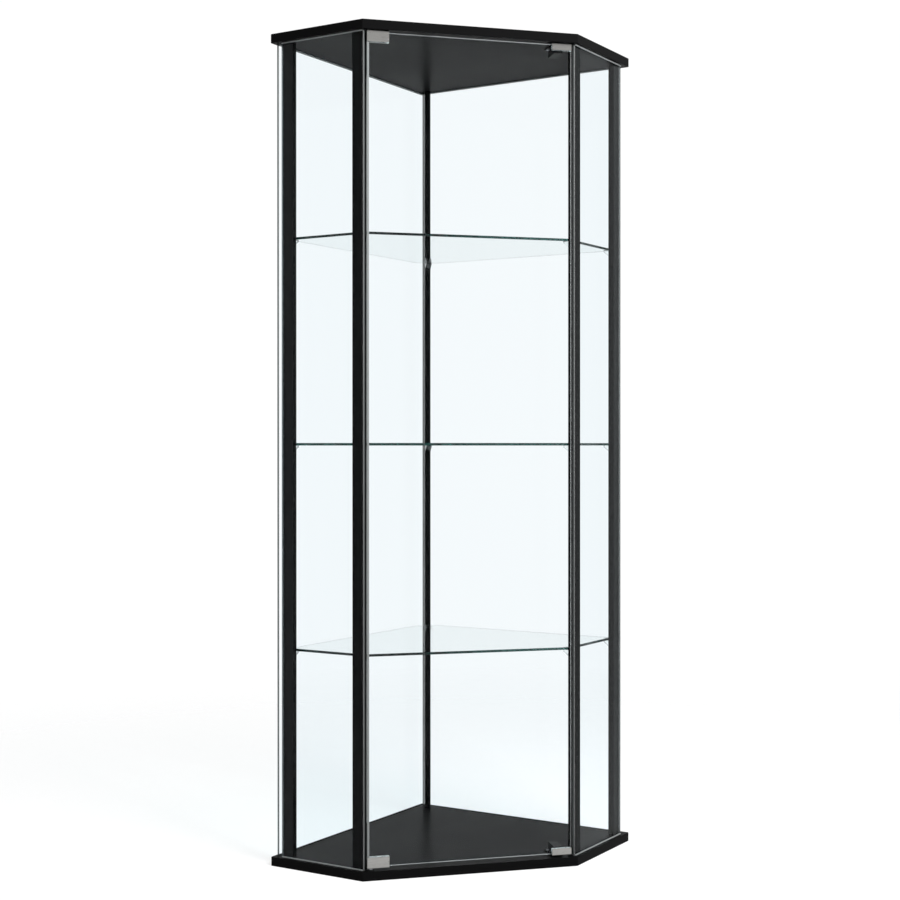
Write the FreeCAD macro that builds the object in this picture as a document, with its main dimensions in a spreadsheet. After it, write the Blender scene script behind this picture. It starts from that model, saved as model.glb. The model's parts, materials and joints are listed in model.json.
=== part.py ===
import FreeCAD, Part
import math
import os
import Sketcher

# Corner curio cabinet, millimetres. +Z is up, the front faces -Y and the square corner points to +Y.
# The origin is on the floor, in the middle of the cabinet's box. Local frames "on a wall" have x along
# the wall and y outward; the five walls are walked clockwise, seen from above.

DIMENSIONS = {
    "overall_height": 1650,
    "wall_side": 529,
    "short_side": 226,
    "board_thickness": 18,
    "board_corner_radius": 3,
    "board_edge_radius": 1,
    "glass_thickness": 5,
    "glass_arris": 0.5,
    "pane_gap": 0.3,
    "pane_play": 0.2,
    "groove_depth": 4,
    "groove_clearance": 0.3,
    "side_pane_inset": 10,
    "side_pane_front_gap": 5.5,
    "side_pane_back_gap": 20,
    "back_pane_inset": 5,
    "back_left_end_gap": 14.5,
    "back_right_end_gap": 17.5,
    "post_width": 24,
    "post_depth": 12.5,
    "post_wall": 1.6,
    "post_corner_radius": 1.2,
    "strip_thickness": 1,
    "strip_width": 24,
    "bead_width": 2,
    "bead_height": 2,
    "back_bead_start": 29,
    "outer_post_offset": 19.5,
    "front_post_offset": 191,
    "back_post_front": 50,
    "back_post_shift": 5,
    "insert_length": 22,
    "insert_clearance": 0.15,
    "bore_clearance": 0.3,
    "screw_radius": 2,
    "screw_clearance": 0.05,
    "screw_length": 30,
    "screw_head_radius": 4,
    "screw_head_height": 2.5,
    "counterbore_radius": 4.6,
    "counterbore_depth": 4,
    "cap_height": 1.3,
    "cap_clearance": 0.1,
    "shelf_side_inset": 34,
    "shelf_front_inset": 38,
    "shelf_back_inset": 20,
    "shelf_post_gap": 3,
    "shelf_corner_radius": 4,
    "lower_shelf_height": 427.5,
    "middle_shelf_height": 837,
    "upper_shelf_height": 1246.5,
    "peg_width": 12,
    "peg_reach": 14.5,
    "peg_height": 12,
    "peg_plate": 3,
    "peg_web": 3,
    "peg_stem_radius": 2.5,
    "peg_stem_length": 8,
    "peg_hole_clearance": 0.1,
    "peg_stem_root": 1,
    "door_width": 408,
    "door_front_inset": 11.6,
    "door_bottom": 24,
    "door_top": 1628.8,
    "liner_thickness": 0.5,
    "liner_pad": 0.4,
    "slot_overrun": 1,
    "clamp_length": 43,
    "clamp_height": 21.2,
    "clamp_plate": 3,
    "clamp_web": 2,
    "clamp_edge_radius": 0.8,
    "pivot_offset": 7.5,
    "pin_radius": 3,
    "pin_clearance": 0.05,
    "pin_collar_radius": 5,
    "pin_collar_gap": 0.1,
    "pin_reach": 10,
    "bush_radius": 5,
    "bush_length": 12,
    "bush_flange_radius": 8,
    "bush_flange": 1.5,
    "bush_clearance": 0.05,
    "grub_radius": 2,
    "grub_spacing": 22,
    "strike_length": 39.5,
    "strike_height": 12.5,
    "strike_plate": 1.5,
    "latch_offset": 181,
    "latch_axis_height": 9.5,
    "latch_width": 18,
    "latch_depth": 44,
    "latch_height": 17,
    "latch_front": -243,
    "latch_flange_width": 34,
    "latch_flange_depth": 26,
    "latch_flange": 2.5,
    "latch_screw_spacing": 26,
    "latch_screw_radius": 1.6,
    "latch_screw_length": 12,
    "latch_screw_head_radius": 3,
    "latch_screw_head": 2,
    "latch_screw_bite": 11,
    "latch_hole_clearance": 0.2,
    "latch_bore_end": 3,
    "plunger_radius": 4,
    "plunger_length": 34,
    "plunger_clearance": 0.08,
    "latch_gap": 0.4,
    "magnet_radius": 3,
    "magnet_length": 4,
    "magnet_clearance": 0.05,
}
SOCKET_WIDTH = 0.8
SOCKET_DEPTH = 0.6
FIRST_WIDTH = 10
FIRST_DEPTH = 5
TOLERANCE = 1e-6

doc = FreeCAD.newDocument("corner_curio_cabinet")
HALF = math.sqrt(0.5)
UP = FreeCAD.Vector(0, 0, 1)
PARTS = []


def make_sheet():
    """The spreadsheet of driving dimensions, one alias a row."""
    sheet = doc.addObject("Spreadsheet::Sheet", "Dimensions")
    for row, (name, value) in enumerate(DIMENSIONS.items(), start=1):
        sheet.set(f"A{row}", name)
        sheet.set(f"B{row}", str(value))
        sheet.setAlias(f"B{row}", name)
    doc.recompute()
    return sheet


SHEET = make_sheet()


def size(name):
    """A driving dimension's value, read from the sheet."""
    return float(getattr(SHEET, name))


def cells(expression):
    """The expression with each dimension's name pointed at the sheet."""
    words = expression.replace("(", "( ").replace(")", " )").split()
    return " ".join("Dimensions." + word if word in DIMENSIONS else word for word in words)


def bind(thing, **expressions):
    for prop, expression in expressions.items():
        thing.setExpression(prop, cells(expression))


def vector(x, y, z=0.0):
    return FreeCAD.Vector(x, y, z)


def placed(x, y, z, turn=0.0):
    return FreeCAD.Placement(vector(x, y, z), FreeCAD.Rotation(UP, turn))


def box(name, length, width, height, placement):
    made = doc.addObject("Part::Box", name)
    bind(made, Length=length, Width=width, Height=height)
    made.Placement = placement
    return made


def cylinder(name, radius, height, placement):
    made = doc.addObject("Part::Cylinder", name)
    bind(made, Radius=radius, Height=height)
    made.Placement = placement
    return made


def fuse(name, shapes):
    made = doc.addObject("Part::MultiFuse", name)
    made.Shapes = shapes
    made.Refine = True
    return made


def cut(name, base, tools):
    """base with every tool taken away."""
    made = doc.addObject("Part::Cut", name)
    made.Base = base
    made.Tool = tools[0] if len(tools) == 1 else fuse(name + "_tools", tools)
    made.Refine = True
    return made


def compound(name, shapes):
    """Separate solids kept together in one piece."""
    made = doc.addObject("Part::Compound", name)
    made.Links = shapes
    return made


def node(label, thing):
    """Registers a finished piece under its own name."""
    thing.Label = label
    PARTS.append(thing)
    return thing


def group(label, template, placements):
    """Identical separate solids in one node: copies of the template piece at each placement."""
    doc.recompute()
    copies = []
    for placement in placements:
        copy = template.Shape.copy()
        copy.Placement = placement.multiply(copy.Placement)
        copies.append(copy)
    made = doc.addObject("Part::Feature", label)
    made.Shape = Part.makeCompound(copies)
    made.Placement = FreeCAD.Placement()
    return node(label, made)


# ---------------------------------------------------------------- the plan

def plan_corners():
    """The board outline's corners: back, right, front right, front left, left."""
    wall = size("wall_side") * HALF
    short = size("short_side") * HALF
    back = vector(0, (wall + short) / 2)
    right = back + vector(wall, -wall)
    front_right = right + vector(-short, -short)
    return {
        "back": back,
        "right": right,
        "front_right": front_right,
        "front_left": vector(-front_right.x, front_right.y),
        "left": vector(-right.x, right.y),
    }


CORNERS = plan_corners()
WALLS = {
    "back_left": (CORNERS["left"], 45),
    "back_right": (CORNERS["back"], -45),
    "right_side": (CORNERS["right"], -135),
    "left_side": (CORNERS["front_left"], 135),
}
FRONT_Y = CORNERS["front_left"].y
BACK_Y = CORNERS["back"].y
DOOR_Y = FRONT_Y + size("door_front_inset")
GLASS_MIDDLE_Y = DOOR_Y + size("glass_thickness") / 2
PIVOT_X = size("pivot_offset") - size("door_width") / 2
CEILING = size("overall_height") - size("board_thickness")


def on_wall(wall, along, inset, z):
    """Placement of a piece whose inner face is inset from a wall's board edge."""
    origin, turn = WALLS[wall]
    local = placed(origin.x, origin.y, z, turn)
    return local.multiply(placed(along, -inset, 0))


# ---------------------------------------------------------------- sketch helpers

def make_body(name):
    return doc.addObject("PartDesign::Body", name)


def plane_of(body, role):
    return next(plane for plane in body.Origin.OriginFeatures if plane.Role == role)


def sketch_on(body, role, name):
    sketch = body.newObject("Sketcher::SketchObject", name)
    sketch.AttachmentSupport = [(plane_of(body, role), "")]
    sketch.MapMode = "FlatFace"
    return sketch


def constrain(sketch, expression, *args):
    """A driven dimension, bound to the sheet."""
    index = sketch.addConstraint(Sketcher.Constraint(*args))
    sketch.setExpression(f"Constraints[{index}]", cells(expression))


def closed_lines(sketch, points):
    """A closed chain of lines through the points, joined end to end."""
    count = len(points)
    for number in range(count):
        line = Part.LineSegment(points[number], points[(number + 1) % count])
        sketch.addGeometry(line, False)
    for number in range(count):
        sketch.addConstraint(Sketcher.Constraint("Coincident", number, 2, (number + 1) % count, 1))


def rectangle(sketch, width, depth, corner):
    """A rectangle from a corner at local (corner, corner), sized by expressions. Returns its first line."""
    first = sketch.GeometryCount
    low = vector(corner, corner)
    high = vector(corner + FIRST_WIDTH, corner + FIRST_DEPTH)
    points = [low, vector(high.x, low.y), high, vector(low.x, high.y)]
    for number in range(4):
        sketch.addGeometry(Part.LineSegment(points[number], points[(number + 1) % 4]), False)
    for number in range(4):
        following = first + (number + 1) % 4
        sketch.addConstraint(Sketcher.Constraint("Coincident", first + number, 2, following, 1))
    sketch.addConstraint(Sketcher.Constraint("Horizontal", first))
    sketch.addConstraint(Sketcher.Constraint("Horizontal", first + 2))
    sketch.addConstraint(Sketcher.Constraint("Vertical", first + 1))
    sketch.addConstraint(Sketcher.Constraint("Vertical", first + 3))
    constrain(sketch, width, "DistanceX", first, 1, first, 2, FIRST_WIDTH)
    constrain(sketch, depth, "DistanceY", first + 1, 1, first + 1, 2, FIRST_DEPTH)
    return first


def pad(body, sketch, length, name):
    made = body.newObject("PartDesign::Pad", name)
    made.Profile = sketch
    bind(made, Length=length)
    doc.recompute()
    return made


def upright_edges(shape):
    """Names of the outer edges that run along Z."""
    names = []
    for number, edge in enumerate(shape.Edges, start=1):
        direction = edge.tangentAt(edge.FirstParameter)
        if abs(abs(direction.z) - 1) < TOLERANCE and edge.Curve.TypeId == "Part::GeomLine":
            names.append(f"Edge{number}")
    return names


def rim_edges(shape, heights):
    """Names of the edges that lie flat at one of the heights."""
    names = []
    for number, edge in enumerate(shape.Edges, start=1):
        limits = edge.BoundBox
        if limits.ZLength < TOLERANCE and any(abs(limits.ZMin - height) < TOLERANCE for height in heights):
            names.append(f"Edge{number}")
    return names


def dress(body, kind, base, edges, name, **expressions):
    """A fillet or chamfer on the named edges."""
    made = body.newObject(kind, name)
    made.Base = (base, edges)
    bind(made, **expressions)
    doc.recompute()
    return made


# ---------------------------------------------------------------- boards

def board_blank(name):
    """The five-sided board: two square wall sides, two short sides and the front, edges eased."""
    body = make_body(name)
    sketch = sketch_on(body, "XY_Plane", name + "_outline")
    order = ["back", "right", "front_right", "front_left", "left"]
    closed_lines(sketch, [CORNERS[corner] for corner in order])
    sketch.addConstraint(Sketcher.Constraint("PointOnObject", 0, 1, -2))
    sketch.addConstraint(Sketcher.Constraint("Symmetric", 0, 2, 3, 2, -2))
    sketch.addConstraint(Sketcher.Constraint("Symmetric", 1, 2, 2, 2, -2))
    sketch.addConstraint(Sketcher.Constraint("Perpendicular", 0, 1))
    sketch.addConstraint(Sketcher.Constraint("Perpendicular", 0, 4))
    constrain(sketch, "wall_side", "Distance", 0, size("wall_side"))
    constrain(sketch, "short_side", "Distance", 1, size("short_side"))
    half_depth = "( wall_side + short_side ) / sqrt(8)"
    constrain(sketch, half_depth, "DistanceY", -1, 1, 0, 1, BACK_Y)
    solid = pad(body, sketch, "board_thickness", name + "_pad")
    corners = dress(body, "PartDesign::Fillet", solid, upright_edges(solid.Shape), name + "_corners",
                    Radius="board_corner_radius")
    rims = rim_edges(corners.Shape, [0, size("board_thickness")])
    dress(body, "PartDesign::Fillet", corners, rims, name + "_rims", Radius="board_edge_radius")
    return body


def pane_grooves(name, z):
    """Cutting boxes for the four pane grooves, with their lower face at z."""
    clearance = size("groove_clearance")
    tools = []
    for wall, (along, inset, length) in PANES.items():
        start = on_wall(wall, along - clearance, inset + size("glass_thickness") + clearance, z)
        tools.append(box(f"{name}_{wall}_groove", f"{length} + 2 * groove_clearance",
                         "glass_thickness + 2 * groove_clearance", "groove_depth", start))
    return tools


def screw_bores(name, counterbore_z):
    """Through holes and counterbores at every post."""
    tools = []
    for number, (x, y) in enumerate(post_centres(), start=1):
        tools.append(cylinder(f"{name}_bore_{number}", "screw_radius + bore_clearance", "board_thickness",
                              placed(x, y, 0)))
        tools.append(cylinder(f"{name}_counterbore_{number}", "counterbore_radius",
                              "counterbore_depth", placed(x, y, counterbore_z)))
    return tools


def hardware_bores(name, bush_z, pilot_z):
    """The hinge bush's hole and the latch screws' pilot holes."""
    tools = [cylinder(name + "_bush_bore", "bush_radius + bush_clearance", "bush_length",
                      placed(PIVOT_X, GLASS_MIDDLE_Y, bush_z))]
    for number, (x, y) in enumerate(latch_screw_places(), start=1):
        tools.append(cylinder(f"{name}_pilot_{number}", "latch_screw_radius + screw_clearance",
                              "latch_screw_length", placed(x, y, pilot_z)))
    return tools


def make_boards():
    thick = size("board_thickness")
    groove = size("groove_depth")
    reach = size("bush_length")
    pilot = size("latch_screw_length")
    tools = pane_grooves("base", thick - groove) + screw_bores("base", 0)
    tools += hardware_bores("base", thick - reach, thick - pilot)
    node("base_board", cut("base_board", board_blank("base_blank"), tools))

    tools = pane_grooves("top", 0) + screw_bores("top", thick - size("counterbore_depth"))
    tools += hardware_bores("top", 0, 0)
    top = node("top_board", cut("top_board", board_blank("top_blank"), tools))
    top.Placement = placed(0, 0, CEILING)


# ---------------------------------------------------------------- posts

def post_places():
    """Each post's placement: its inner face is local y = 0 and its foot is on the base board."""
    short = size("short_side")
    width = size("post_width")
    inset = (size("side_pane_inset") + size("glass_thickness") + size("strip_thickness")
             + size("post_depth"))
    outer = size("outer_post_offset")
    front = size("front_post_offset")
    floor = size("board_thickness")
    back_front_y = BACK_Y - size("back_post_front")
    back_x = size("back_post_shift") + size("post_depth") / 2
    return {
        "left_post": on_wall("left_side", short - outer - width, inset, floor),
        "front_left_post": on_wall("left_side", short - front - width, inset, floor),
        "front_right_post": on_wall("right_side", front, inset, floor),
        "right_post": on_wall("right_side", outer, inset, floor),
        "back_post": placed(back_x, back_front_y, floor, 90),
    }


def post_centres():
    """Plan position of every post's middle."""
    centre = vector(size("post_width") / 2, size("post_depth") / 2)
    points = [place.multVec(centre) for place in post_places().values()]
    return [(point.x, point.y) for point in points]


def shelf_levels():
    """Height of each shelf's underside."""
    half_glass = size("glass_thickness") / 2
    return {name: size(name + "_shelf_height") - half_glass for name in ("lower", "middle", "upper")}


def peg_hole_height(level):
    """Height of a peg's stem: half the peg below the shelf's underside."""
    return level - size("peg_height") / 2


def make_post(label, placement):
    """A square-cornered tube with a hole for each shelf peg, in its wide or its narrow inner face."""
    body = make_body(label)
    sketch = sketch_on(body, "XY_Plane", label + "_section")
    outer = rectangle(sketch, "post_width", "post_depth", 0)
    sketch.addConstraint(Sketcher.Constraint("Coincident", outer, 1, -1, 1))
    inner = rectangle(sketch, "post_width - 2 * post_wall", "post_depth - 2 * post_wall", 1)
    constrain(sketch, "post_wall", "DistanceX", -1, 1, inner, 1, 1)
    constrain(sketch, "post_wall", "DistanceY", -1, 1, inner, 1, 1)
    tube = pad(body, sketch, "overall_height - 2 * board_thickness", label + "_pad")
    limit = size("post_wall") / 2
    outside = [name for name in upright_edges(tube.Shape)
               if is_outer(tube.Shape.getElement(name), limit)]
    rounded = dress(body, "PartDesign::Fillet", tube, outside, label + "_corners",
                    Radius="post_corner_radius")
    edge_on = label == "back_post"
    drill_peg_holes(body, label, edge_on)
    if body.Shape.Volume >= rounded.Shape.Volume:
        raise RuntimeError(label + " has no peg holes")
    body.Placement = placement
    node(label, body)


def is_outer(edge, limit):
    """True for an upright edge on the tube's outside."""
    point = edge.CenterOfMass
    across = min(point.x, size("post_width") - point.x)
    deep = min(point.y, size("post_depth") - point.y)
    return across < limit and deep < limit


def drill_peg_holes(body, label, edge_on):
    """Three round holes through one wall of the tube."""
    sketch = sketch_on(body, "YZ_Plane" if edge_on else "XZ_Plane", label + "_peg_holes")
    middle = "post_depth / 2" if edge_on else "post_width / 2"
    middle_value = size("post_depth") / 2 if edge_on else size("post_width") / 2
    for name, level in shelf_levels().items():
        rise = peg_hole_height(level) - size("board_thickness")
        hole = Part.Circle(vector(middle_value, rise), UP, size("peg_stem_radius"))
        index = sketch.addGeometry(hole, False)
        constrain(sketch, "peg_stem_radius + peg_hole_clearance", "Radius", index,
                  size("peg_stem_radius"))
        constrain(sketch, middle, "DistanceX", -1, 1, index, 3, middle_value)
        height = f"{name}_shelf_height - glass_thickness / 2 - peg_height / 2 - board_thickness"
        constrain(sketch, height, "DistanceY", -1, 1, index, 3, rise)
    pocket = body.newObject("PartDesign::Pocket", label + "_peg_pocket")
    pocket.Profile = sketch
    pocket.Reversed = edge_on
    bind(pocket, Length="post_wall + post_corner_radius")
    doc.recompute()


def make_posts():
    for label, placement in post_places().items():
        make_post(label, placement)


def screw_template(name, radius, length, head_radius, head_height):
    """A pan-head screw, head down at z = 0, with a hexagon socket in its head."""
    head = cylinder(name + "_head", head_radius, head_height, FreeCAD.Placement())
    shank = cylinder(name + "_shank", radius, length, FreeCAD.Placement())
    socket = doc.addObject("Part::Prism", name + "_socket")
    socket.Polygon = 6
    bind(socket, Circumradius=f"{radius} * {SOCKET_WIDTH}", Height=f"{head_height} * {SOCKET_DEPTH}")
    return cut(name, fuse(name + "_blank", [head, shank]), [socket])


def upside_down(x, y, z):
    """A template turned over, with its origin at this point."""
    return FreeCAD.Placement(vector(x, y, z), FreeCAD.Rotation(vector(1, 0, 0), 180))


def make_post_fixings():
    """Inserts in the posts' ends, the screws through both boards into them, and the top screws' caps."""
    gap = size("insert_clearance")
    wall = size("post_wall")
    blank = box("insert_blank", "post_width - 2 * post_wall - 2 * insert_clearance",
                "post_depth - 2 * post_wall - 2 * insert_clearance", "insert_length",
                placed(wall + gap, wall + gap, 0))
    hole = cylinder("insert_hole", "screw_radius + screw_clearance", "insert_length",
                    placed(size("post_width") / 2, size("post_depth") / 2, 0))
    insert = cut("insert_template", blank, [hole])
    lift = placed(0, 0, CEILING - size("board_thickness") - size("insert_length"))
    feet = list(post_places().values())
    group("post_end_inserts", insert, feet + [foot.multiply(lift) for foot in feet])

    screw = screw_template("post_screw", "screw_radius", "screw_length", "screw_head_radius",
                           "screw_head_height")
    seat = size("counterbore_depth") - size("screw_head_height")
    centres = post_centres()
    group("base_screws", screw, [placed(x, y, seat) for x, y in centres])
    top = size("overall_height")
    group("top_screws", screw, [upside_down(x, y, top - seat) for x, y in centres])
    cap = cylinder("cap_template", "counterbore_radius - cap_clearance", "cap_height", FreeCAD.Placement())
    group("top_screw_caps", cap, [placed(x, y, top - size("cap_height")) for x, y in centres])


def make_glazing_strips():
    """Soft strips between the four outer posts and the side panes."""
    strip = box("strip_template", "strip_width", "strip_thickness",
                "overall_height - 2 * board_thickness",
                placed((size("post_width") - size("strip_width")) / 2, size("post_depth"), 0))
    places = [place for label, place in post_places().items() if label != "back_post"]
    group("glazing_strips", strip, places)


def bead_layout():
    """For each wall: start along it, inset of the bead's inner face, length expression. The beads run
    outside the side panes and inside the back panes, and the back right one starts beside the post."""
    bead = size("bead_width")
    back_face = size("back_pane_inset") + size("glass_thickness") + bead
    side_inset = size("side_pane_inset")
    side_length = "short_side - side_pane_front_gap - side_pane_back_gap - 2 * bead_width"
    return {
        "left_side": (size("side_pane_front_gap") + bead, side_inset, side_length),
        "right_side": (size("side_pane_back_gap") + bead, side_inset, side_length),
        "back_left": (size("back_left_end_gap") + bead, back_face,
                      "wall_side - back_left_end_gap - back_pane_inset - glass_thickness"
                      " - 2 * bead_width"),
        "back_right": (size("back_bead_start"), back_face,
                       "wall_side - back_right_end_gap - back_bead_start - bead_width"),
    }


def make_pane_beads():
    """Clear sealant beads along the top of each pane, and along the foot of the side panes."""
    upper = CEILING - size("bead_height")
    for wall, (along, inset, length) in bead_layout().items():
        levels = [upper] if wall.startswith("back") else [size("board_thickness"), upper]
        beads = [box(f"{wall}_bead_{number}", length, "bead_width", "bead_height",
                     on_wall(wall, along, inset, z)) for number, z in enumerate(levels, start=1)]
        node(f"{wall}_beads", compound(f"{wall}_beads", beads))


# ---------------------------------------------------------------- glass

def pane_layout():
    """For each wall with a fixed pane: start along the wall, inset of the outer face, length expression."""
    front = size("side_pane_front_gap")
    back = size("side_pane_back_gap")
    back_end = size("back_left_end_gap")
    side_inset = size("side_pane_inset")
    back_inset = size("back_pane_inset")
    butt = back_inset + size("glass_thickness") + size("pane_gap")
    side_length = "short_side - side_pane_front_gap - side_pane_back_gap"
    return {
        "left_side": (front, side_inset, side_length),
        "right_side": (back, side_inset, side_length),
        "back_left": (back_end, back_inset, "wall_side - back_left_end_gap - back_pane_inset"),
        "back_right": (butt, back_inset, "wall_side - back_right_end_gap - back_pane_inset"
                       " - glass_thickness - pane_gap"),
    }


PANES = pane_layout()


def glass_sheet(name, length, height):
    """A flat pane, x along its length, y through the glass, with every edge arrised."""
    body = make_body(name)
    sketch = sketch_on(body, "XY_Plane", name + "_section")
    first = rectangle(sketch, length, "glass_thickness", 0)
    sketch.addConstraint(Sketcher.Constraint("Coincident", first, 1, -1, 1))
    solid = pad(body, sketch, height, name + "_pad")
    edges = [f"Edge{number + 1}" for number in range(len(solid.Shape.Edges))]
    dress(body, "PartDesign::Chamfer", solid, edges, name + "_arris", Size="glass_arris")
    return body


def make_panes():
    bottom = size("board_thickness") - size("groove_depth") + size("pane_play")
    height = "overall_height - 2 * board_thickness + 2 * groove_depth - 2 * pane_play"
    for wall, (along, inset, length) in PANES.items():
        pane = glass_sheet(wall + "_pane", length, height)
        pane.Placement = on_wall(wall, along, inset + size("glass_thickness"), bottom)
        node(wall + "_pane", pane)


def shelf_sketch(body, name):
    """The shelf outline: like the boards, with the corner by the back post cut off square."""
    sketch = sketch_on(body, "XY_Plane", name + "_outline")
    cut_depth = size("back_post_front") + size("shelf_post_gap")
    half_cut = cut_depth - size("shelf_back_inset") / HALF
    back = size("wall_side") - size("shelf_side_inset") - cut_depth / HALF + size("shelf_back_inset")
    cut_y = BACK_Y - cut_depth
    right = vector(half_cut + back * HALF, cut_y - back * HALF)
    front_y = FRONT_Y + size("shelf_front_inset")
    slant = right.y - front_y
    front = vector(right.x - slant, front_y)
    half = [vector(half_cut, cut_y), right, front]
    points = half + [vector(-point.x, point.y) for point in reversed(half)]
    closed_lines(sketch, points)
    sketch.addConstraint(Sketcher.Constraint("Symmetric", 0, 1, 4, 2, -2))
    sketch.addConstraint(Sketcher.Constraint("Symmetric", 0, 2, 3, 2, -2))
    sketch.addConstraint(Sketcher.Constraint("Symmetric", 1, 2, 2, 2, -2))
    sketch.addConstraint(Sketcher.Constraint("Perpendicular", 0, 1))
    sketch.addConstraint(Sketcher.Constraint("Perpendicular", 0, 4))
    depth = "( back_post_front + shelf_post_gap )"
    constrain(sketch, f"{depth} - shelf_back_inset * sqrt(2)", "DistanceX", -1, 1, 0, 1, half_cut)
    constrain(sketch, f"( wall_side + short_side ) / sqrt(8) - {depth}", "DistanceY", -1, 1, 0, 1,
              cut_y)
    constrain(sketch, f"wall_side - shelf_side_inset - {depth} * sqrt(2) + shelf_back_inset",
              "Distance", 0, back)
    constrain(sketch, "( wall_side + short_side ) / sqrt(8) - shelf_front_inset",
              "DistanceY", 2, 1, -1, 1, -front_y)
    return sketch


def make_shelf(name, level):
    body = make_body(name)
    solid = pad(body, shelf_sketch(body, name), "glass_thickness", name + "_pad")
    corners = dress(body, "PartDesign::Fillet", solid, upright_edges(solid.Shape), name + "_corners",
                    Radius="shelf_corner_radius")
    rims = rim_edges(corners.Shape, [0, size("glass_thickness")])
    dress(body, "PartDesign::Chamfer", corners, rims, name + "_arris", Size="glass_arris")
    body.Placement = placed(0, 0, level)
    node(name, body)


def peg_template():
    """A shelf peg: a flat plate on a tapered web, and a stem for the post's hole. The plate's top is at
    the peg's full height, the face against the post is y = 0, and the peg reaches towards -y."""
    plate = box("peg_plate_block", "peg_width", "peg_reach", "peg_plate",
                placed(-size("peg_width") / 2, -size("peg_reach"),
                       size("peg_height") - size("peg_plate")))
    web = doc.addObject("Part::Wedge", "peg_web_wedge")
    bind(web, Xmax="peg_width", Ymax="peg_height - peg_plate", Zmax="peg_web",
         X2max="peg_width", Z2max="peg_reach")
    web.Xmin = 0
    web.Ymin = 0
    web.Zmin = 0
    web.X2min = 0
    web.Z2min = 0
    web.Placement = FreeCAD.Placement(vector(-size("peg_width") / 2, 0, 0),
                                      FreeCAD.Rotation(vector(1, 0, 0), 90))
    stem = cylinder("peg_stem", "peg_stem_radius", "peg_stem_length + peg_stem_root",
                    FreeCAD.Placement(vector(0, -size("peg_stem_root"), size("peg_height") / 2),
                                      FreeCAD.Rotation(vector(1, 0, 0), -90)))
    return fuse("peg_template", [plate, web, stem])


def peg_places(level):
    """Where the pegs' origins go for one shelf, one on each post."""
    places = []
    drop = level - size("peg_height") - size("board_thickness")
    for label, post in post_places().items():
        if label == "back_post":
            local = placed(0, size("post_depth") / 2, drop, -90)
        else:
            local = placed(size("post_width") / 2, 0, drop)
        places.append(post.multiply(local))
    return places


def make_shelves():
    peg = peg_template()
    for name, level in shelf_levels().items():
        make_shelf(name + "_shelf", level)
        group(name + "_shelf_pegs", peg, peg_places(level))


# ---------------------------------------------------------------- door

def make_door_glass():
    door = glass_sheet("door_glass", "door_width", "door_top - door_bottom")
    door.Placement = placed(-size("door_width") / 2, DOOR_Y, size("door_bottom"))
    node("door_glass", door)


def channel(name, length, height, plate, web, x, bottom, opens_up):
    """A U-shaped clip over the door's lower or upper edge, with a liner's room round the glass."""
    liner = size("liner_thickness")
    half = size("glass_thickness") / 2 + liner
    outside = half + size(plate)
    outer = box(name + "_outer", length, f"glass_thickness + 2 * liner_thickness + 2 * {plate}",
                height, placed(x, GLASS_MIDDLE_Y - outside, bottom))
    over = size("slot_overrun")
    slot_bottom = bottom + size(web) if opens_up else bottom - over
    slot = box(name + "_slot", length + " + 2 * slot_overrun", "glass_thickness + 2 * liner_thickness",
               f"{height} - {web} + slot_overrun", placed(x - over, GLASS_MIDDLE_Y - half, slot_bottom))
    return outer, slot


def make_liner(name, length, height, web, x, bottom, opens_up):
    """The soft U-shaped liner between a clip and the glass."""
    liner = size("liner_thickness")
    half = size("glass_thickness") / 2
    low = bottom + size(web) if opens_up else bottom
    outer = box(name + "_outer", length, "glass_thickness + 2 * liner_thickness",
                f"{height} - {web}", placed(x, GLASS_MIDDLE_Y - half - liner, low))
    over = size("slot_overrun")
    slot_low = low + size("liner_pad") if opens_up else low - over
    slot = box(name + "_slot", length + " + 2 * slot_overrun", "glass_thickness",
               f"{height} - {web} + slot_overrun - liner_pad",
               placed(x - over, GLASS_MIDDLE_Y - half, slot_low))
    return cut(name, outer, [slot])


def hinge_bottom(upper):
    """Height of a hinge clamp's lower face."""
    if upper:
        return size("door_top") + size("liner_pad") + size("clamp_web") - size("clamp_height")
    return size("door_bottom") - size("liner_pad") - size("clamp_web")


def grub_places(upper):
    """Centres of a hinge clamp's two grub screws, on its inner plate."""
    middle_x = -size("door_width") / 2 + size("clamp_length") / 2
    middle_z = hinge_bottom(upper) + size("clamp_height") / 2
    back = GLASS_MIDDLE_Y + size("glass_thickness") / 2 + size("liner_thickness") + size("clamp_plate")
    turned = FreeCAD.Rotation(vector(1, 0, 0), 90)
    offsets = (-size("grub_spacing") / 2, size("grub_spacing") / 2)
    return [FreeCAD.Placement(vector(middle_x + offset, back, middle_z), turned) for offset in offsets]


def round_edges(name, base, radius, keep):
    """A Part fillet of one radius on the edges that keep() accepts."""
    doc.recompute()
    made = doc.addObject("Part::Fillet", name)
    made.Base = base
    picked = []
    for number, edge in enumerate(base.Shape.Edges, start=1):
        if keep(edge):
            picked.append((number, size(radius), size(radius)))
    made.Edges = picked
    return made


def front_edges(front_y):
    """Accepts the edges that lie in the plane y = front_y."""
    def accept(edge):
        limits = edge.BoundBox
        return abs(limits.YMin - front_y) < TOLERANCE and abs(limits.YMax - front_y) < TOLERANCE
    return accept


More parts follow.
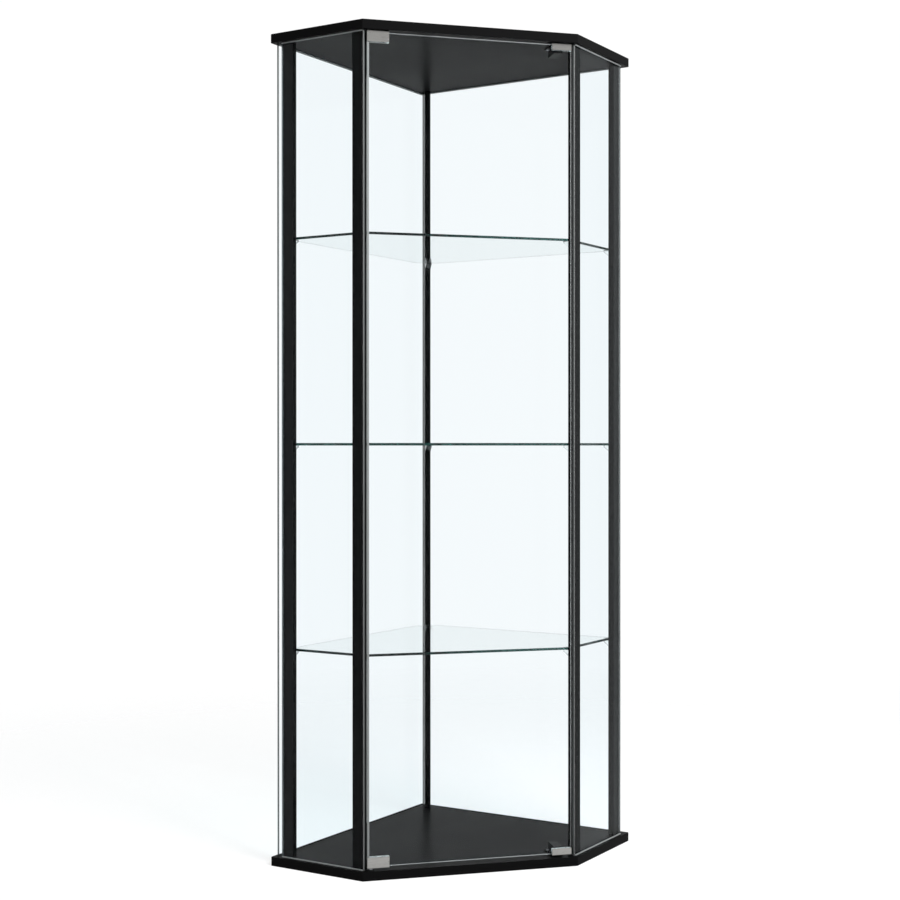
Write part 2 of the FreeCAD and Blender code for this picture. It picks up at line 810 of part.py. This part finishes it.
def make_hinge(upper):
    """Clamp, pin and bush of one pivot hinge. The clamp grips the glass at the door's left edge."""
    side = "upper" if upper else "lower"
    bottom = hinge_bottom(upper)
    left = -size("door_width") / 2
    outer, slot = channel(side + "_clamp", "clamp_length", "clamp_height", "clamp_plate", "clamp_web",
                          left, bottom, not upper)
    pin_hole_z = bottom + size("clamp_height") - size("clamp_web") if upper else bottom
    pin_hole = cylinder(side + "_pin_hole", "pin_radius + pin_clearance", "clamp_web",
                        placed(PIVOT_X, GLASS_MIDDLE_Y, pin_hole_z))
    grub_holes = []
    for number, place in enumerate(grub_places(upper), start=1):
        grub_holes.append(cylinder(f"{side}_grub_hole_{number}", "grub_radius + screw_clearance",
                                   "clamp_plate", place))
    front = GLASS_MIDDLE_Y - (size("glass_thickness") / 2 + size("liner_thickness")
                              + size("clamp_plate"))
    eased = round_edges(side + "_clamp_eased", outer, "clamp_edge_radius", front_edges(front))
    node(f"{side}_hinge_clamp", cut(f"{side}_hinge_clamp", eased, [slot, pin_hole, *grub_holes]))
    liner = make_liner(f"{side}_hinge_liner", "clamp_length", "clamp_height", "clamp_web", left,
                       bottom, not upper)
    node(f"{side}_hinge_liner", liner)
    make_pivot(side, upper, bottom)


def make_pivot(side, upper, clamp_bottom):
    """The pin fixed in a clamp's web and the bush that it turns in."""
    thick = size("board_thickness")
    reach = size("pin_reach")
    web = size("clamp_web")
    pin_x, pin_y = PIVOT_X, GLASS_MIDDLE_Y
    if upper:
        web_bottom = clamp_bottom + size("clamp_height") - web
        pin = cylinder("upper_pin_shank", "pin_radius",
                       "overall_height - board_thickness + pin_reach - door_top - liner_pad",
                       placed(pin_x, pin_y, web_bottom))
        node("upper_hinge_pin", pin)
        ring = cylinder("upper_bush_outer", "bush_radius", "bush_length", placed(pin_x, pin_y, CEILING))
        bore = cylinder("upper_bush_bore", "pin_radius + pin_clearance", "bush_length",
                        placed(pin_x, pin_y, CEILING))
        node("upper_hinge_bush", cut("upper_hinge_bush", ring, [bore]))
        return
    flange_top = thick + size("bush_flange")
    collar_bottom = flange_top + size("pin_collar_gap")
    shank = cylinder("lower_pin_shank", "pin_radius",
                     "pin_reach + door_bottom - liner_pad - board_thickness",
                     placed(pin_x, pin_y, thick - reach))
    collar = cylinder("lower_pin_collar", "pin_collar_radius",
                      "door_bottom - liner_pad - clamp_web - board_thickness - bush_flange"
                      " - pin_collar_gap",
                      placed(pin_x, pin_y, collar_bottom))
    node("lower_hinge_pin", fuse("lower_hinge_pin", [shank, collar]))
    barrel = cylinder("lower_bush_barrel", "bush_radius", "bush_length",
                      placed(pin_x, pin_y, thick - size("bush_length")))
    flange = cylinder("lower_bush_flange", "bush_flange_radius", "bush_flange",
                      placed(pin_x, pin_y, thick))
    bore = cylinder("lower_bush_bore", "pin_radius + pin_clearance", "bush_length + bush_flange",
                    placed(pin_x, pin_y, thick - size("bush_length")))
    node("lower_hinge_bush", cut("lower_hinge_bush", fuse("lower_bush_body", [barrel, flange]), [bore]))


def make_grub_screws():
    """Socket grub screws, flush with the clamps' inner plates."""
    blank = cylinder("grub_blank", "grub_radius", "clamp_plate", FreeCAD.Placement())
    socket = doc.addObject("Part::Prism", "grub_socket")
    socket.Polygon = 6
    bind(socket, Circumradius=f"grub_radius * {SOCKET_DEPTH}", Height=f"clamp_plate * {SOCKET_DEPTH}")
    grub = cut("grub_template", blank, [socket])
    group("hinge_grub_screws", grub, grub_places(False) + grub_places(True))


def make_strike(upper):
    """The thin plate clip on the door's right edge that the latch magnet holds."""
    side = "upper" if upper else "lower"
    plate = size("strike_plate")
    if upper:
        bottom = size("door_top") + size("liner_pad") + plate - size("strike_height")
    else:
        bottom = size("door_bottom") - size("liner_pad") - plate
    left = size("door_width") / 2 - size("strike_length")
    outer, slot = channel(side + "_strike", "strike_length", "strike_height", "strike_plate",
                          "strike_plate", left, bottom, not upper)
    node(f"{side}_strike_plate", cut(f"{side}_strike_plate", outer, [slot]))
    liner = make_liner(f"{side}_strike_liner", "strike_length", "strike_height", "strike_plate", left,
                       bottom, not upper)
    node(f"{side}_strike_liner", liner)


def make_door():
    make_door_glass()
    for upper in (False, True):
        make_hinge(upper)
        make_strike(upper)
    make_grub_screws()


# ---------------------------------------------------------------- push latches

def latch_screw_places():
    """Plan position of a latch's two fixing screws."""
    y = size("latch_front") + size("latch_depth") - size("latch_flange_depth") / 2
    offset = size("latch_screw_spacing") / 2
    return [(size("latch_offset") - offset, y), (size("latch_offset") + offset, y)]


def latch_axis_z(upper):
    if upper:
        return CEILING - size("latch_axis_height")
    return size("board_thickness") + size("latch_axis_height")


def make_latch(upper):
    """Housing, plunger and magnet of one push latch, behind the strike plate."""
    side = "upper" if upper else "lower"
    x = size("latch_offset")
    front = size("latch_front")
    axis_z = latch_axis_z(upper)
    base_z = CEILING - size("latch_height") if upper else size("board_thickness")
    flange_z = CEILING - size("latch_flange") if upper else size("board_thickness")
    along_y = FreeCAD.Rotation(vector(1, 0, 0), -90)
    block = box(side + "_latch_block", "latch_width", "latch_depth", "latch_height",
                placed(x - size("latch_width") / 2, front, base_z))
    flange = box(side + "_latch_flange", "latch_flange_width", "latch_flange_depth", "latch_flange",
                 placed(x - size("latch_flange_width") / 2,
                        front + size("latch_depth") - size("latch_flange_depth"), flange_z))
    bore = cylinder(side + "_latch_bore", "plunger_radius + plunger_clearance",
                    "latch_depth - latch_bore_end", FreeCAD.Placement(vector(x, front, axis_z), along_y))
    holes = []
    for number, (screw_x, screw_y) in enumerate(latch_screw_places(), start=1):
        holes.append(cylinder(f"{side}_latch_hole_{number}", "latch_screw_radius + latch_hole_clearance",
                              "latch_flange", placed(screw_x, screw_y, flange_z)))
    blank = fuse(side + "_latch_blank", [block, flange])
    node(f"{side}_latch_housing", cut(f"{side}_latch_housing", blank, [bore, *holes]))

    strike_back = (GLASS_MIDDLE_Y + size("glass_thickness") / 2 + size("liner_thickness")
                   + size("strike_plate"))
    tip = strike_back + size("latch_gap")
    place = FreeCAD.Placement(vector(x, tip, axis_z), along_y)
    rod = cylinder(side + "_plunger_rod", "plunger_radius", "plunger_length", place)
    recess = cylinder(side + "_plunger_recess", "magnet_radius + magnet_clearance", "magnet_length", place)
    node(f"{side}_latch_plunger", cut(f"{side}_latch_plunger", rod, [recess]))
    node(f"{side}_latch_magnet", cylinder(side + "_latch_magnet", "magnet_radius", "magnet_length",
                                          place))


def make_latches():
    for upper in (False, True):
        make_latch(upper)
    screw = screw_template("latch_screw", "latch_screw_radius",
                           "latch_screw_bite + latch_flange + latch_screw_head",
                           "latch_screw_head_radius", "latch_screw_head")
    floor = size("board_thickness") + size("latch_flange") + size("latch_screw_head")
    roof = CEILING - size("latch_flange") - size("latch_screw_head")
    spots = latch_screw_places()
    places = [upside_down(x, y, floor) for x, y in spots] + [placed(x, y, roof) for x, y in spots]
    group("latch_screws", screw, places)


# ---------------------------------------------------------------- checks and export

def check_objects():
    """Stops unless every object rebuilt and every piece is a valid solid."""
    doc.recompute()
    for thing in doc.Objects:
        if "Invalid" in thing.State or "Error" in thing.State:
            raise RuntimeError(f"{thing.Label} failed: {thing.State}")
    for part in PARTS:
        shape = part.Shape
        if shape.isNull() or not shape.isValid() or not shape.Solids:
            raise RuntimeError(part.Label + " is not a valid solid")


def export():
    os.makedirs("parts", exist_ok=True)
    for part in PARTS:
        part.Shape.exportStep(f"parts/{part.Label}.step")
        print(f"{part.Label}: {len(part.Shape.Solids)} solids, {part.Shape.Volume / 1000:.2f} cm3")


def main():
    make_boards()
    make_posts()
    make_post_fixings()
    make_glazing_strips()
    make_panes()
    make_pane_beads()
    make_shelves()
    make_door()
    make_latches()
    check_objects()
    export()


main()
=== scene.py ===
import json
import math

import bpy
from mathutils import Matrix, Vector

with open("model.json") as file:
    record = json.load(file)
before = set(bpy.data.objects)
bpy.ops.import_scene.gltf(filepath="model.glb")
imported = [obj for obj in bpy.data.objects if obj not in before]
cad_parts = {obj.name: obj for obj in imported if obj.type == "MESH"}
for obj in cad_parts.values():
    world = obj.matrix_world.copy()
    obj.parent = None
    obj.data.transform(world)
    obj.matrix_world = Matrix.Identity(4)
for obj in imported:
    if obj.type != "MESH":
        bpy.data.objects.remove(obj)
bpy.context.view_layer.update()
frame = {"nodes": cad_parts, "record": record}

# ---------------------------------------------------------------- material helpers


class Shader:
    """A new material and short calls that add nodes to it. Inputs that are sockets are linked."""

    def __init__(self, name):
        self.material = bpy.data.materials.new(name)
        self.material.use_nodes = True
        self.tree = self.material.node_tree
        self.tree.nodes.clear()
        self.output = self.tree.nodes.new("ShaderNodeOutputMaterial")

    def node(self, kind, inputs=None, **settings):
        made = self.tree.nodes.new("ShaderNode" + kind)
        for key, value in settings.items():
            setattr(made, key, value)
        for key, value in (inputs or {}).items():
            if isinstance(value, bpy.types.NodeSocket):
                self.tree.links.new(value, made.inputs[key])
            else:
                made.inputs[key].default_value = value
        return made

    def place(self, stretch=(1, 1, 1)):
        """Coordinates in metres in the piece's own frame, stretched for a grain."""
        source = self.node("TexCoord").outputs["Object"]
        return self.node("Mapping", {"Vector": source, "Scale": stretch}).outputs[0]

    def noise(self, scale, detail=2.0, stretch=(1, 1, 1), rough=0.5):
        made = self.node("TexNoise", {"Vector": self.place(stretch), "Scale": scale,
                                      "Detail": detail, "Roughness": rough})
        return made.outputs["Fac"]

    def span(self, source, low, high, start=0.3, end=0.7):
        """source mapped from start..end to low..high."""
        made = self.node("MapRange", {"Value": source, "From Min": start, "From Max": end,
                                      "To Min": low, "To Max": high})
        return made.outputs[0]

    def blend(self, factor, first, second):
        """A colour between two, by factor."""
        made = self.node("Mix", data_type="RGBA")
        self.tree.links.new(factor, made.inputs[0])
        made.inputs[6].default_value = (*first, 1)
        made.inputs[7].default_value = (*second, 1)
        return made.outputs[2]

    def bump(self, height, strength, distance):
        return self.node("Bump", {"Height": height, "Strength": strength,
                                  "Distance": distance}).outputs[0]

    def surface(self, **inputs):
        made = self.node("BsdfPrincipled", {key.replace("_", " "): value
                                            for key, value in inputs.items()})
        self.tree.links.new(made.outputs[0], self.output.inputs["Surface"])
        return made

    def lets_lamps_through(self, glass, tint):
        """Lamps reach what is behind the glass, dimmed by its tint."""
        through = self.node("BsdfTransparent", {"Color": (*tint, 1)})
        path = self.node("LightPath")
        mixed = self.node("MixShader")
        self.tree.links.new(path.outputs["Is Shadow Ray"], mixed.inputs[0])
        self.tree.links.new(glass.outputs[0], mixed.inputs[1])
        self.tree.links.new(through.outputs[0], mixed.inputs[2])
        self.tree.links.new(mixed.outputs[0], self.output.inputs["Surface"])


# ---------------------------------------------------------------- materials

GLASS_SHADOW = (0.93, 0.96, 0.96)
# Softness and width of the painted highlight band along the door glass's left edge, in the edge
# colour.
EDGE_GLINT_BLUR = 0.0003
EDGE_GLINT_WIDTH = 0.0043


def laminate():
    """Satin black board facing with a fine pressed grain."""
    s = Shader("black_laminate")
    grain = s.noise(420, detail=6, stretch=(1, 7, 7), rough=0.6)
    mottle = s.noise(9, detail=3)
    s.surface(Base_Color=s.blend(grain, (0.0030, 0.0030, 0.0031), (0.0046, 0.0046, 0.0047)),
              Roughness=s.span(mottle, 0.30, 0.36), Specular_IOR_Level=0.010,
              Normal=s.bump(grain, 0.02, 0.0001))
    return s.material


def gloss_paint():
    """Gloss black lacquer with a faint orange peel."""
    s = Shader("gloss_black_paint")
    peel = s.noise(420, detail=2)
    haze = s.noise(14, detail=4)
    s.surface(Base_Color=s.blend(haze, (0.0010, 0.0010, 0.0011), (0.0020, 0.0020, 0.0022)),
              Roughness=s.span(haze, 0.12, 0.19), Specular_IOR_Level=0.04,
              Normal=s.bump(peel, 0.02, 0.0001))
    return s.material


def clear_glass(name, facing, index, edge, clarity, absorb, density, margin=None):
    """Polished float glass with ground edges. facing is the direction square to its two big faces;
    edge and clarity are the ground edges' colour, a green-grey tint partly painted shade, and how far
    they let light in;
    the glass also takes the edge colour where it lies further left than margin, a painted highlight
    for the door edge's pale line."""
    s = Shader(name)
    normal = s.node("TexCoord").outputs["Normal"]
    along = s.node("VectorMath", {0: normal, 1: facing}, operation="DOT_PRODUCT").outputs["Value"]
    squareness = s.node("Math", {0: along}, operation="ABSOLUTE").outputs[0]
    on_edge = s.span(squareness, 1.0, 0.0, start=0.35, end=0.9)
    # Painted highlight: a band of the face next to the door's left edge takes the edge colour.
    if margin is not None:
        across = s.node("SeparateXYZ", {"Vector": s.place()}).outputs["X"]
        painted_edge_glint = s.span(across, 1.0, 0.0, start=margin - EDGE_GLINT_BLUR, end=margin)
        on_edge = s.node("Math", {0: on_edge, 1: painted_edge_glint}, operation="MAXIMUM").outputs[0]
    film = s.noise(30, detail=4)
    face_rough = s.span(film, 0.0, 0.008)
    ground = s.span(s.noise(500, detail=3), 0.14, 0.26)
    rough = s.node("Mix", {0: on_edge, 2: face_rough, 3: ground}).outputs[0]
    # The edge colour, partly painted shade, goes on the ground edges and on the painted highlight
    # band.
    glass = s.surface(Base_Color=s.blend(on_edge, (1, 1, 1), edge),
                      Transmission_Weight=s.span(on_edge, 1.0, clarity, start=0.0, end=1.0),
                      IOR=index, Roughness=rough, Normal=s.bump(s.noise(3.5, detail=1), 0.02, 0.001))
    s.lets_lamps_through(glass, GLASS_SHADOW)
    volume = s.node("VolumeAbsorption", {"Color": (*absorb, 1), "Density": density})
    s.tree.links.new(volume.outputs[0], s.output.inputs["Volume"])
    return s.material


def brushed_nickel():
    """Satin nickel plate, brushed along its length."""
    s = Shader("satin_nickel")
    brush = s.noise(900, detail=3, stretch=(0.04, 1, 1))
    tone = s.noise(60, detail=3)
    s.surface(Base_Color=s.blend(tone, (0.27, 0.266, 0.257), (0.35, 0.346, 0.332)), Metallic=1.0,
              Roughness=s.span(brush, 0.24, 0.38),
              Normal=s.bump(brush, 0.12, 0.00008))
    return s.material


def zinc_plate():
    """Zinc plate of the screws and hinge pins, dulled in patches."""
    s = Shader("zinc_plated_steel")
    bloom = s.noise(350, detail=4)
    s.surface(Base_Color=s.blend(bloom, (0.30, 0.31, 0.33), (0.40, 0.41, 0.44)), Metallic=1.0,
              Roughness=s.span(bloom, 0.25, 0.40),
              Normal=s.bump(bloom, 0.10, 0.0001))
    return s.material


def magnet_plate():
    """Nickel plate on the magnets, with fine wear."""
    s = Shader("nickel_plated_magnet")
    wear = s.noise(700, detail=4)
    s.surface(Base_Color=s.blend(wear, (0.36, 0.36, 0.37), (0.52, 0.52, 0.53)), Metallic=1.0,
              Roughness=s.span(wear, 0.14, 0.28),
              Normal=s.bump(wear, 0.06, 0.00005))
    return s.material


def clear_moulding():
    """Clear injection-moulded plastic, slightly hazed by flow marks."""
    s = Shader("clear_moulded_plastic")
    flow = s.noise(220, detail=3, stretch=(1, 1, 0.3))
    glass = s.surface(Base_Color=(0.93, 0.95, 0.95, 1), Transmission_Weight=1.0, IOR=1.58,
                      Roughness=s.span(flow, 0.06, 0.16),
                      Normal=s.bump(flow, 0.10, 0.0003))
    s.lets_lamps_through(glass, (0.85, 0.87, 0.87))
    return s.material


def clear_vinyl():
    """The soft liners of the door's clips, milky and slightly wavy."""
    s = Shader("clear_vinyl")
    ripple = s.noise(160, detail=3, stretch=(1, 1, 0.1))
    glass = s.surface(Base_Color=s.blend(ripple, (0.82, 0.85, 0.85), (0.92, 0.94, 0.94)),
                      Transmission_Weight=0.85, IOR=1.53,
                      Roughness=s.span(ripple, 0.22, 0.36),
                      Normal=s.bump(ripple, 0.10, 0.0004))
    s.lets_lamps_through(glass, (0.75, 0.77, 0.77))
    return s.material


def clear_sealant():
    """Cured clear sealant, cloudy where it was smoothed."""
    s = Shader("clear_sealant")
    smear = s.noise(240, detail=3, stretch=(1, 1, 0.15))
    glass = s.surface(Base_Color=s.blend(smear, (0.33, 0.35, 0.35), (0.43, 0.45, 0.45)),
                      Transmission_Weight=0.35, IOR=1.35,
                      Roughness=s.span(smear, 0.30, 0.45),
                      Normal=s.bump(smear, 0.08, 0.0003))
    s.lets_lamps_through(glass, (0.6, 0.6, 0.6))
    return s.material


def black_rubber():
    """Matt glazing tape."""
    s = Shader("black_rubber")
    skin = s.noise(700, detail=4)
    s.surface(Base_Color=s.blend(skin, (0.006, 0.006, 0.006), (0.011, 0.011, 0.011)),
              Roughness=s.span(skin, 0.55, 0.70), Specular_IOR_Level=0.05,
              Normal=s.bump(skin, 0.10, 0.0001))
    return s.material


def black_moulding():
    """Fine spark-textured black moulding."""
    s = Shader("black_moulded_plastic")
    spark = s.noise(1400, detail=3)
    tone = s.noise(40, detail=2)
    s.surface(Base_Color=s.blend(tone, (0.007, 0.007, 0.007), (0.010, 0.010, 0.010)),
              Roughness=s.span(spark, 0.42, 0.56), Specular_IOR_Level=0.08,
              Normal=s.bump(spark, 0.15, 0.0001))
    return s.material


def nylon():
    """Smooth black nylon of the hinge bushes."""
    s = Shader("black_nylon")
    tone = s.noise(120, detail=3)
    s.surface(Base_Color=s.blend(tone, (0.008, 0.008, 0.008), (0.012, 0.012, 0.012)),
              Roughness=s.span(tone, 0.38, 0.50), Specular_IOR_Level=0.2,
              Normal=s.bump(tone, 0.08, 0.0001))
    return s.material


PANE_TINT = (0.07, 0.49, 0.66)
SHELF_TINT = (0.55, 0.86, 0.84)
# Edge colours of the glass: a real green-grey tint with painted shade; the shelf and pane edges are
# painted dark as shaded, the door's paler as lit.
SHELF_EDGE_TINT_AND_SHADE = (0.10, 0.13, 0.125)
PANE_EDGE_TINT_AND_SHADE = (0.080, 0.087, 0.087)
DOOR_EDGE_TINT_AND_LIGHT = (0.21, 0.22, 0.22)
PANE_INDEX = 1.1
PANE_CLARITY = 0.3
PANE_DENSITY = 11.0
SHELF_INDEX = 1.4
SHELF_CLARITY = 1.0
SHELF_DENSITY = 10.0
DOOR_LEFT = min(corner.co.x for corner in frame["nodes"]["door_glass"].data.vertices)
DIAGONAL = math.sqrt(0.5)
FINISHES = {
    "black_board": laminate(),
    "black_post": gloss_paint(),
    "door_glass": clear_glass("door_glass_clear", (0, 1, 0), PANE_INDEX, DOOR_EDGE_TINT_AND_LIGHT, PANE_CLARITY,
                              PANE_TINT, PANE_DENSITY, DOOR_LEFT + EDGE_GLINT_WIDTH),
    "shelf_glass": clear_glass("shelf_glass_clear", (0, 0, 1), SHELF_INDEX, SHELF_EDGE_TINT_AND_SHADE, SHELF_CLARITY,
                               SHELF_TINT, SHELF_DENSITY),
    "satin_nickel": brushed_nickel(),
    "zinc_steel": zinc_plate(),
    "magnet": magnet_plate(),
    "clear_plastic": clear_moulding(),
    "clear_vinyl": clear_vinyl(),
    "clear_sealant": clear_sealant(),
    "black_rubber": black_rubber(),
    "black_plastic": black_moulding(),
    "nylon": nylon(),
}
RIGHT_RISING = clear_glass("pane_glass_clear_a", (DIAGONAL, DIAGONAL, 0), PANE_INDEX, PANE_EDGE_TINT_AND_SHADE,
                           PANE_CLARITY, PANE_TINT, PANE_DENSITY)
LEFT_RISING = clear_glass("pane_glass_clear_b", (DIAGONAL, -DIAGONAL, 0), PANE_INDEX, PANE_EDGE_TINT_AND_SHADE,
                          PANE_CLARITY, PANE_TINT, PANE_DENSITY)
PANE_FINISHES = {
    "left_side_pane": RIGHT_RISING,
    "back_right_pane": RIGHT_RISING,
    "right_side_pane": LEFT_RISING,
    "back_left_pane": LEFT_RISING,
}


def finish_nodes():
    for part in frame["record"]["subparts"]:
        name, slot = part["node"], part["material_slot"]
        material = PANE_FINISHES[name] if name in PANE_FINISHES else FINISHES[slot]
        piece = frame["nodes"][name]
        for holder in piece.material_slots:
            holder.material = material


# ---------------------------------------------------------------- studio

BACKDROP = 1.02
AFTER_BOUNCE = (("Glossy Depth", 0.95), ("Diffuse Depth", 0.45))
FLOOR_HALF = 4.0
FLOOR_GLOW = 0.69
FADE_START, FADE_END = 0.9, 2.6
STRIP_SIZE = (0.06, 2.6)
STRIP_WATTS = 20
CAMERA_PLACE = (-0.6493, -3.1968, 0.8357)
CAMERA_YAW, CAMERA_PITCH = 0.2617, -0.0033
CAMERA_LENS = 61.604
CAMERA_SHIFT = -0.0993


def make_world():
    """White where it is looked at, directly or through glass; a little dimmer in reflections and much
    dimmer as a light on matt surfaces."""
    world = bpy.data.worlds.new("studio")
    world.use_nodes = True
    bpy.context.scene.world = world
    tree = world.node_tree
    tree.nodes.clear()
    path = tree.nodes.new("ShaderNodeLightPath")
    shown = tree.nodes.new("ShaderNodeBackground")
    shown.inputs["Strength"].default_value = BACKDROP
    shown.inputs["Color"].default_value = (1, 1, 1, 1)
    for depth, strength in AFTER_BOUNCE:
        backdrop = tree.nodes.new("ShaderNodeBackground")
        backdrop.inputs["Strength"].default_value = strength
        backdrop.inputs["Color"].default_value = (1, 1, 1, 1)
        mixed = tree.nodes.new("ShaderNodeMixShader")
        tree.links.new(path.outputs[depth], mixed.inputs[0])
        tree.links.new(shown.outputs[0], mixed.inputs[1])
        tree.links.new(backdrop.outputs[0], mixed.inputs[2])
        shown = mixed
    out = tree.nodes.new("ShaderNodeOutputWorld")
    tree.links.new(shown.outputs[0], out.inputs["Surface"])


def softbox(name, place, target, width, height, watts, mirrored):
    """An area lamp aimed at a point, either only mirrored in gloss or only lighting matt surfaces."""
    lamp = bpy.data.lights.new(name, "AREA")
    lamp.shape = "RECTANGLE"
    lamp.size = width
    lamp.size_y = height
    lamp.energy = watts
    made = bpy.data.objects.new(name, lamp)
    made.location = place
    made.rotation_mode = "QUATERNION"
    made.rotation_quaternion = (Vector(target) - Vector(place)).to_track_quat("-Z", "Y")
    made.visible_glossy = mirrored
    made.visible_diffuse = not mirrored
    made.visible_camera = False
    made.visible_transmission = False
    bpy.context.scene.collection.objects.link(made)


def make_floor():
    """A plain pale studio floor that fades into the white backdrop all round."""
    half = FLOOR_HALF
    mesh = bpy.data.meshes.new("studio_floor")
    mesh.from_pydata([(-half, -half, 0), (half, -half, 0), (half, half, 0), (-half, half, 0)], [],
                     [(0, 1, 2, 3)])
    floor = bpy.data.objects.new("studio_floor", mesh)
    bpy.context.scene.collection.objects.link(floor)
    s = Shader("studio_floor_paint")
    paint = s.surface(Base_Color=s.blend(s.noise(0.6), (0.34, 0.34, 0.34), (0.36, 0.36, 0.36)),
                      Roughness=0.8, Emission_Color=(1, 1, 1, 1), Emission_Strength=FLOOR_GLOW)
    away = s.node("VectorMath", {0: s.place()}, operation="LENGTH").outputs["Value"]
    fade = s.span(away, 0.0, 1.0, start=FADE_START, end=FADE_END)
    clear = s.node("BsdfTransparent")
    mixed = s.node("MixShader", {0: fade, 1: paint.outputs[0], 2: clear.outputs[0]})
    s.tree.links.new(mixed.outputs[0], s.output.inputs["Surface"])
    mesh.materials.append(s.material)


def make_camera():
    """The viewpoint: low, in front of the door and a little to its left, level, with a long lens."""
    camera = bpy.data.cameras.new("camera")
    camera.sensor_width = 36.0
    camera.lens = CAMERA_LENS
    camera.shift_x = CAMERA_SHIFT
    camera.clip_start = 0.05
    camera.clip_end = 60.0
    made = bpy.data.objects.new("camera", camera)
    made.location = CAMERA_PLACE
    level = math.cos(CAMERA_PITCH)
    heading = Vector((math.sin(CAMERA_YAW) * level, math.cos(CAMERA_YAW) * level,
                      math.sin(CAMERA_PITCH)))
    made.rotation_mode = "QUATERNION"
    made.rotation_quaternion = heading.to_track_quat("-Z", "Y")
    bpy.context.scene.collection.objects.link(made)
    bpy.context.scene.camera = made


def set_up_studio():
    make_world()
    make_floor()
    softbox("key", (0.9, -1.9, 1.95), (0, 0, 1.6), 1.0, 0.6, 105, False)
    softbox("strip_right", (3.2, -1.2, 1.2), (0, 0, 0.8), *STRIP_SIZE, STRIP_WATTS, True)
    softbox("strip_left", (-2.2, -3.4, 1.2), (0, 0, 0.8), *STRIP_SIZE, STRIP_WATTS, True)
    make_camera()
    scene = bpy.context.scene
    scene.view_settings.view_transform = "Standard"
    scene.view_settings.look = "None"
    scene.cycles.max_bounces = 32
    scene.cycles.transmission_bounces = 28
    scene.cycles.glossy_bounces = 8
    scene.cycles.transparent_max_bounces = 32
    scene.cycles.use_denoising = True


finish_nodes()
set_up_studio()
